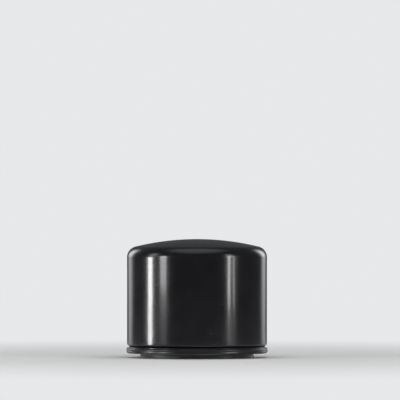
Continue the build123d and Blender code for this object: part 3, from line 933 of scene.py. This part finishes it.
# centre tube: strip perforated in staggered rows, then rolled. Each hole has a square cell of its own, so that the
# faces stay even.
def perforated_tube(name, r_out, t, z0, z1, columns, rows_n, hole_r, margin):
    side = 6                                     # segments on each side of a cell
    ring_n = 4 * side
    w = 2 * math.pi / columns
    h = (z1 - z0 - 2 * margin) / rows_n
    verts, faces, index = [], [], {}

    def vert(u, z, face):
        u = u % (2 * math.pi)
        if abs(u - 2 * math.pi) < 1e-7:
            u = 0.0
        key = (round(u * 1e5) % round(2 * math.pi * 1e5), round(z * 1e4), face)
        if key not in index:
            index[key] = len(verts)
            r = r_out - (t if face else 0.0)
            verts.append((r * math.cos(u), r * math.sin(u), z))
        return index[key]

    for row in range(rows_n):
        zc = z0 + margin + (row + 0.5) * h
        for col in range(columns):
            uc = (col + 0.5 * (row % 2)) * w
            border = []
            for k in range(side):
                border.append((-0.5 + k / side, -0.5))
            for k in range(side):
                border.append((0.5, -0.5 + k / side))
            for k in range(side):
                border.append((0.5 - k / side, 0.5))
            for k in range(side):
                border.append((-0.5, 0.5 - k / side))
            loops = []
            circle = []
            for k, (bx, bz) in enumerate(border):
                ang = math.atan2(bz * h, bx * w * r_out)
                ang = -3 * math.pi / 4 + 2 * math.pi * k / ring_n
                circle.append((hole_r * math.cos(ang) / r_out, hole_r * math.sin(ang)))
            for mixv in (0.0, 0.34, 0.67, 1.0):
                loops.append([((bx * w) * (1 - mixv) + cx * mixv, (bz * h) * (1 - mixv) + cz * mixv)
                              for (bx, bz), (cx, cz) in zip(border, circle)])
            for face in (0, 1):
                for a, b in zip(loops, loops[1:]):
                    for k in range(ring_n):
                        j = (k + 1) % ring_n
                        q = [vert(uc + a[k][0], zc + a[k][1], face), vert(uc + a[j][0], zc + a[j][1], face),
                             vert(uc + b[j][0], zc + b[j][1], face), vert(uc + b[k][0], zc + b[k][1], face)]
                        faces.append(q)
            last = loops[-1]
            for k in range(ring_n):
                j = (k + 1) % ring_n
                faces.append([vert(uc + last[k][0], zc + last[k][1], 0), vert(uc + last[j][0], zc + last[j][1], 0),
                              vert(uc + last[j][0], zc + last[j][1], 1), vert(uc + last[k][0], zc + last[k][1], 1)])
    total = columns * side
    lines = [z0, z0 + margin * 0.5, z0 + margin]
    tops = [z1 - margin, z1 - margin * 0.5, z1]
    for zs in (lines, tops):
        for za, zb in zip(zs, zs[1:]):
            for k in range(total):
                # the cells of odd rows are shifted by half a cell, which is a whole number of segments
                ua, ub = (k - side / 2) * w / side, (k + 1 - side / 2) * w / side
                for face in (0, 1):
                    faces.append([vert(ua, za, face), vert(ub, za, face), vert(ub, zb, face), vert(ua, zb, face)])
    for z in (z0, z1):
        for k in range(total):
            ua, ub = (k - side / 2) * w / side, (k + 1 - side / 2) * w / side
            faces.append([vert(ua, z, 0), vert(ub, z, 0), vert(ub, z, 1), vert(ua, z, 1)])
    return make(name, verts, faces, sharp=35.0)


tube = perforated_tube("centre_tube", 13.0, 0.5, 16.4, 53.5, 12, 8, 1.6, 1.2)
place(tube, HOUSING, "tube_steel", M_TUBE, "centre_tube")

# ---------------------------------------------------------------------------
# bypass valve and springs
# ---------------------------------------------------------------------------
seat = lathe("bypass_seat", divide(sheet([(5.9, 53.2), (5.9, 54.6), (11.6, 54.6)], [0.6], 0.6, edge=0.12), 0.6), n=144)
place(seat, HOUSING, "tinned_steel", M_TIN, "bypass_seat")

poppet_line = [(0, 54.2), (4.2, 54.2), (4.2, 52.5), (7.6, 52.5), (7.6, 51.7), (1.9, 51.7), (1.9, 41.6), (0, 41.6)]
poppet = lathe("bypass_poppet", [(0.0, 54.2)] + divide(rounded(poppet_line, [1.2, 0.05, 0.2, 0.2, 0.6, 0.5], step=10)[1:-1], 0.8, closed=False) + [(0.0, 41.6)], n=96)
place(poppet, BYPASS, "poppet_steel", M_TURNED, "bypass_poppet")

seal_line = rounded([(4.25, 52.5), (7.5, 52.5), (7.5, 53.15), (4.25, 53.15)], [0.05, 0.05, 0.2, 0.12], closed=True, step=15)
seal = lathe("bypass_seal", divide(seal_line, 0.5), n=120)
place(seal, BYPASS, "seal_rubber", M_SEAL, "bypass_seal")

spring = wire("bypass_spring", coil(43.2, 51.7, 4.6, 0.4, 3.6, 1.0, per_turn=44), 0.4, sides=12)
place(spring, HOUSING, "spring_steel", M_WIRE, "bypass_spring")
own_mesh(spring)

big = wire("element_spring", coil(53.9, CROWN_INSIDE - 0.03, 13.0, 0.9, 1.9, 0.9, start=0.6, per_turn=64), 0.9, sides=18)
place(big, HOUSING, "spring_steel", M_WIRE, "element_spring")

for node, material in (("bypass_cage", M_TIN), ("media_clip", M_TIN), ("seam_compound", M_COMPOUND)):
    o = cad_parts[node]
    o.data.materials.clear()
    o.data.materials.append(material)

# ---------------------------------------------------------------------------
# studio: pale floor that runs out into a pale surround, soft light. The floor
# shows from above only, so that the underside can be looked at too.
# ---------------------------------------------------------------------------
PALE = (0.80, 0.81, 0.82)

fm = Nodes("floor_pale")
nt = fm.tree
tone = fm.noise(3.0, 4.0, 0.5)
fm.color(fm.mix(fm.remap(tone, 0.3, 0.7, 0.0, 1.0), (0.60, 0.60, 0.60), (0.63, 0.63, 0.63)))
fm.rough(0.7)
fm.set(Specular_IOR_Level=0.2)
glow = nt.nodes.new("ShaderNodeEmission")
glow.inputs[0].default_value = (*PALE, 1.0)
clear = nt.nodes.new("ShaderNodeBsdfTransparent")
far = nt.nodes.new("ShaderNodeMixShader")
fm.link(fm.remap(fm.radius(), 0.07, 0.42, 0.0, 1.0, smooth=True), far.inputs[0])
fm.link(fm.bsdf.outputs[0], far.inputs[1])
fm.link(glow.outputs[0], far.inputs[2])
path_node = nt.nodes.new("ShaderNodeLightPath")
geo = nt.nodes.new("ShaderNodeNewGeometry")
above = fm.math("SUBTRACT", 1.0, geo.outputs["Backfacing"])
seen = fm.math("MULTIPLY", path_node.outputs["Is Camera Ray"], above)
# the enamel mirrors the floor round the filter, out to about 0.4 m
ring = fm.math("MULTIPLY", fm.remap(fm.radius(), 0.039, 0.041, 0.0, 1.0), fm.remap(fm.radius(), 0.16, 0.42, 1.0, 0.0, smooth=True))
mirrored = fm.math("MULTIPLY", fm.math("MULTIPLY", path_node.outputs["Is Glossy Ray"], above), ring)
glossy = nt.nodes.new("ShaderNodeMixShader")
fm.link(mirrored, glossy.inputs[0])
fm.link(clear.outputs[0], glossy.inputs[1])
fm.link(fm.bsdf.outputs[0], glossy.inputs[2])
pick = nt.nodes.new("ShaderNodeMixShader")
fm.link(seen, pick.inputs[0])
fm.link(glossy.outputs[0], pick.inputs[1])
fm.link(far.outputs[0], pick.inputs[2])
fm.link(pick.outputs[0], fm.out.inputs[0])
mesh = bpy.data.meshes.new("floor")
s = 9.0
mesh.from_pydata([(-s, -s, 0), (s, -s, 0), (s, s, 0), (-s, s, 0)], [], [(0, 1, 2, 3)])
floor = bpy.data.objects.new("floor", mesh)
bpy.context.scene.collection.objects.link(floor)
floor.location = (0, 0, -0.00002)
floor.data.materials.append(fm.mat)

world = bpy.data.worlds.new("studio")
bpy.context.scene.world = world
world.use_nodes = True
wt = world.node_tree
bg = wt.nodes["Background"]
bg.inputs[1].default_value = 1.0
wl = wt.nodes.new("ShaderNodeLightPath")
wm = wt.nodes.new("ShaderNodeMix")
wm.data_type = "RGBA"
sock = {x.identifier: x for x in wm.inputs}
wt.links.new(wl.outputs["Is Camera Ray"], sock["Factor_Float"])
# what lights the filter: a dim surround that brightens smoothly overhead
tilt = math.radians(12)
wt_coord = wt.nodes.new("ShaderNodeTexCoord")
wt_dot = wt.nodes.new("ShaderNodeVectorMath")
wt_dot.operation = "DOT_PRODUCT"
wt_dot.inputs[1].default_value = (0.0, -math.sin(tilt), math.cos(tilt))
wt.links.new(wt_coord.outputs["Generated"], wt_dot.inputs[0])
wt_up = wt.nodes.new("ShaderNodeMapRange")
wt_up.interpolation_type = "SMOOTHSTEP"
for key, value in (("From Min", 0.80), ("From Max", 0.97), ("To Min", 0.0), ("To Max", 1.0)):
    wt_up.inputs[key].default_value = value
wt.links.new(wt_dot.outputs["Value"], wt_up.inputs["Value"])
wt_sky = wt.nodes.new("ShaderNodeMix")
wt_sky.data_type = "RGBA"
sky = {x.identifier: x for x in wt_sky.inputs}
wt.links.new(wt_up.outputs["Result"], sky["Factor_Float"])
sky["A_Color"].default_value = (0.100, 0.104, 0.111, 1.0)
sky["B_Color"].default_value = (1.05, 1.05, 1.05, 1.0)
wt.links.new(next(x for x in wt_sky.outputs if x.identifier == "Result_Color"), sock["A_Color"])
sock["B_Color"].default_value = (*PALE, 1.0)
wt.links.new(next(x for x in wm.outputs if x.identifier == "Result_Color"), bg.inputs[0])


def area(name, location, target, size, power, color=(1, 1, 1)):
    data = bpy.data.lights.new(name, "AREA")
    data.shape = "RECTANGLE"
    data.size, data.size_y = size
    data.energy = power
    data.color = color
    obj = bpy.data.objects.new(name, data)
    bpy.context.scene.collection.objects.link(obj)
    obj.location = location
    obj.rotation_euler = (Vector(target) - Vector(location)).to_track_quat("-Z", "Y").to_euler()
    obj.visible_camera = False
    return obj


def around(azimuth, distance, z):
    """A place at an azimuth from the camera's side, positive to the right."""
    a = math.radians(azimuth)
    return (distance * math.sin(a), -distance * math.cos(a), z)


def panel(name, azimuth, distance, z, size, radiance, feather=False):
    """A flat softbox; a feathered one fades towards its edges."""
    light = area(name, around(azimuth, distance, z), (0, 0, 0.5 * z + 0.03), size, math.pi * size[0] * size[1] * radiance)
    if not feather:
        return
    light.data.use_nodes = True
    t = light.data.node_tree
    t.nodes.clear()
    place_on = t.nodes.new("ShaderNodeNewGeometry")
    split = t.nodes.new("ShaderNodeSeparateXYZ")
    t.links.new(place_on.outputs["Parametric"], split.inputs[0])
    fades = []
    for axis, reach in (("X", 0.48), ("Y", 0.42)):
        off = t.nodes.new("ShaderNodeMath")
        off.operation = "SUBTRACT"
        off.inputs[1].default_value = 0.5
        t.links.new(split.outputs[axis], off.inputs[0])
        size_of = t.nodes.new("ShaderNodeMath")
        size_of.operation = "ABSOLUTE"
        t.links.new(off.outputs[0], size_of.inputs[0])
        fade = t.nodes.new("ShaderNodeMapRange")
        fade.interpolation_type = "SMOOTHSTEP"
        for key, value in (("From Min", 0.5 - reach), ("From Max", 0.5), ("To Min", 1.0), ("To Max", 0.0)):
            fade.inputs[key].default_value = value
        t.links.new(size_of.outputs[0], fade.inputs["Value"])
        fades.append(fade.outputs["Result"])
    both = t.nodes.new("ShaderNodeMath")
    both.operation = "MULTIPLY"
    t.links.new(fades[0], both.inputs[0])
    t.links.new(fades[1], both.inputs[1])
    glow = t.nodes.new("ShaderNodeEmission")
    t.links.new(both.outputs[0], glow.inputs["Strength"])
    end = t.nodes.new("ShaderNodeOutputLight")
    t.links.new(glow.outputs[0], end.inputs[0])


panel("left_strip", -82.5, 1.35, 0.05, (0.20, 0.20), 34.0)
panel("left_fill", -55.2, 0.50, 0.105, (0.098, 0.150), 15.0)
panel("right_strip", 52.4, 0.50, 0.095, (0.033, 0.150), 23.0)
panel("right_edge", 61.2, 0.50, 0.095, (0.028, 0.150), 11.5)
panel("left_upper", -80.0, 1.35, 0.56, (0.62, 1.10), 4.0, feather=True)
panel("right_upper", 57.0, 1.50, 0.56, (0.50, 1.10), 6.0, feather=True)
panel("back_left", -142.0, 1.50, 0.42, (0.90, 1.30), 3.4, feather=True)
panel("back_right", 142.0, 1.50, 0.42, (0.90, 1.30), 3.4, feather=True)
area("overhead", (0.1, -0.25, 1.3), (0.05, -0.10, 0), (1.3, 1.1), 10.5).visible_glossy = False
area("under", (0.25, -0.35, -0.75), (0, 0, 0), (0.6, 0.6), 4.0)
area("under_fill", (-0.45, 0.40, -0.80), (0, 0, 0), (0.7, 0.7), 2.0)

view = bpy.context.scene.view_settings
view.view_transform = "Standard"
